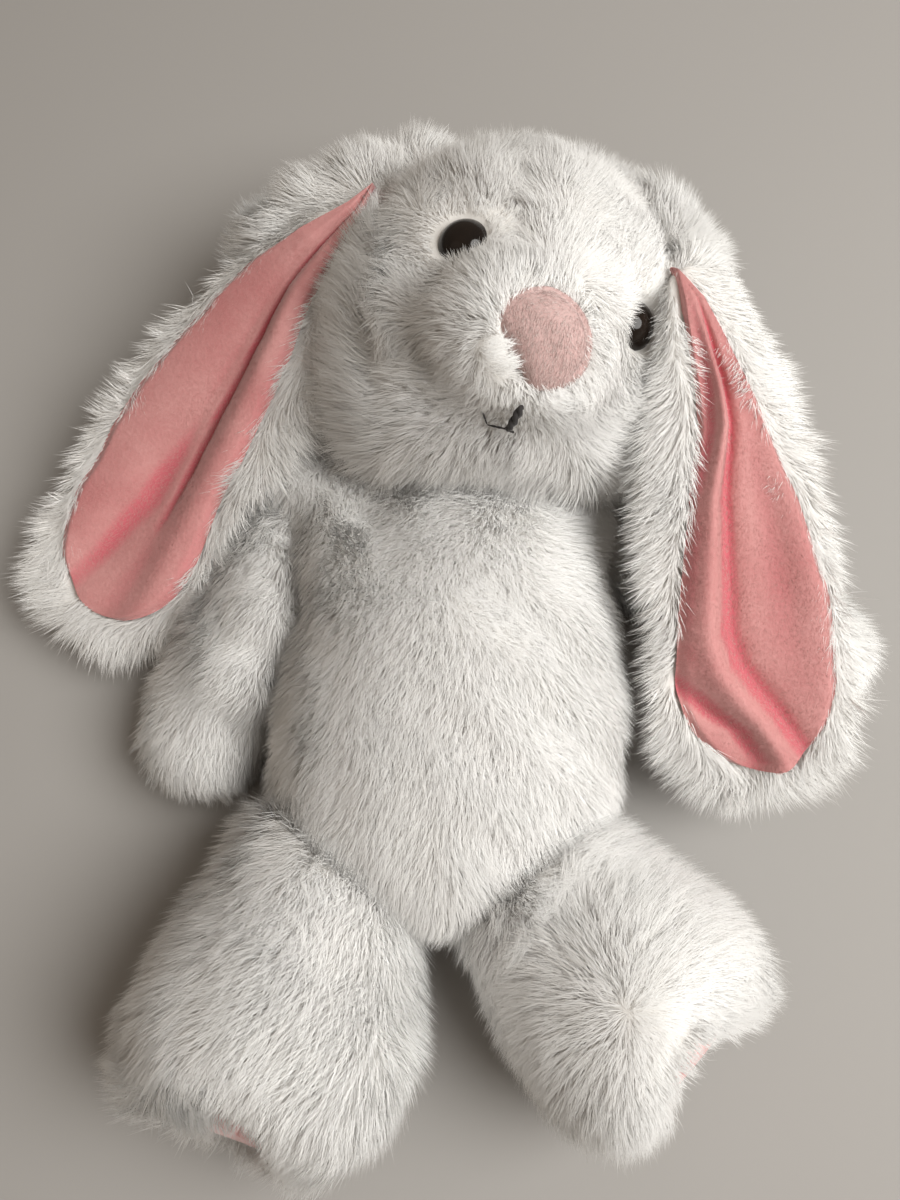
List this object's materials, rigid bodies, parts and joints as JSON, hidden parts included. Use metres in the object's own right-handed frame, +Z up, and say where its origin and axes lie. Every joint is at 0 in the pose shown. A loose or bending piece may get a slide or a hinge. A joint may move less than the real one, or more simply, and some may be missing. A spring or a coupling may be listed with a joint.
{
  "type": "stuffed bunny rabbit",
  "caption": "Soft long-eared plush bunny lying on its back: stuffed fur torso, head, arms and legs, pink ear linings, nose and soles, glossy black eyes.",
  "frame": {"origin": "middle of the flat contact patch of the torso's back, on the surface the bunny lies on", "axes": "+Z up from the surface, the way the belly faces; +Y from the crotch towards the crown of the head; +X to the bunny's own left"},
  "size_m": [0.2506, 0.2769, 0.0951],
  "materials": {
    "fur_fabric": "long-pile white plush",
    "ear_lining_fabric": "short-pile pink plush",
    "nose_fabric": "short-pile pale pink plush",
    "sole_fabric": "short-pile pink plush",
    "stuffing": "loose polyester fibre",
    "eye_gloss": "polished black",
    "washer_plastic": "moulded",
    "black_thread": "twisted embroidery thread",
    "white_thread": "sewing thread"
  },
  "bodies": {
    "torso": {"torso_front_panel": "fur_fabric", "torso_back_left_panel": "fur_fabric", "torso_back_right_panel": "fur_fabric", "torso_stuffing": "stuffing", "closing_stitches": "white_thread"},
    "head": {"head_gusset": "fur_fabric", "head_left_panel": "fur_fabric", "head_right_panel": "fur_fabric", "muzzle_panel": "fur_fabric", "head_stuffing": "stuffing", "nose_patch": "nose_fabric", "nose_padding": "stuffing", "mouth_thread": "black_thread", "eye_left": "eye_gloss", "eye_right": "eye_gloss", "eye_washer_left": "washer_plastic", "eye_washer_right": "washer_plastic"},
    "ear_left": {"ear_left_back": "fur_fabric", "ear_left_lining": "ear_lining_fabric"},
    "ear_right": {"ear_right_back": "fur_fabric", "ear_right_lining": "ear_lining_fabric"},
    "arm_left": {"arm_left_upper_panel": "fur_fabric", "arm_left_under_panel": "fur_fabric", "arm_left_stuffing": "stuffing"},
    "arm_right": {"arm_right_upper_panel": "fur_fabric", "arm_right_under_panel": "fur_fabric", "arm_right_stuffing": "stuffing"},
    "leg_left": {"leg_left_upper_panel": "fur_fabric", "leg_left_under_panel": "fur_fabric", "leg_left_sole": "sole_fabric", "leg_left_stuffing": "stuffing"},
    "leg_right": {"leg_right_upper_panel": "fur_fabric", "leg_right_under_panel": "fur_fabric", "leg_right_sole": "sole_fabric", "leg_right_stuffing": "stuffing"}
  },
  "joints": [
    {"name": "neck_nod", "type": "hinge", "parent": "torso", "child": "head", "pos_m": [0.008, 0.062, 0.044], "axis": [0.9962, -0.0872, 0], "range_deg": [0, 8]},
    {"name": "ear_left_lift", "type": "hinge", "parent": "head", "child": "ear_left", "pos_m": [0.064, 0.112, 0.07], "axis": [-0.9608, -0.2772, 0], "range_deg": [0, 60]},
    {"name": "ear_right_lift", "type": "hinge", "parent": "head", "child": "ear_right", "pos_m": [-0.026, 0.133, 0.058], "axis": [-0.6571, 0.7538, 0], "range_deg": [0, 60]},
    {"name": "shoulder_left_swing", "type": "hinge", "parent": "torso", "child": "arm_left", "pos_m": [0.057, 0.052, 0.013], "axis": [0, 0, 1], "range_deg": [0, 45]},
    {"name": "shoulder_right_lift", "type": "hinge", "parent": "torso", "child": "arm_right", "pos_m": [-0.045, 0.058, 0.027], "axis": [-0.9272, 0.3746, 0], "range_deg": [0, 60]},
    {"name": "hip_left_lift", "type": "hinge", "parent": "torso", "child": "leg_left", "pos_m": [0.024, -0.043, 0.046], "axis": [-0.8191, -0.5736, 0], "range_deg": [0, 60]},
    {"name": "hip_right_lift", "type": "hinge", "parent": "torso", "child": "leg_right", "pos_m": [-0.03, -0.041, 0.046], "axis": [-0.8191, 0.5736, 0], "range_deg": [0, 60]}
  ]
}
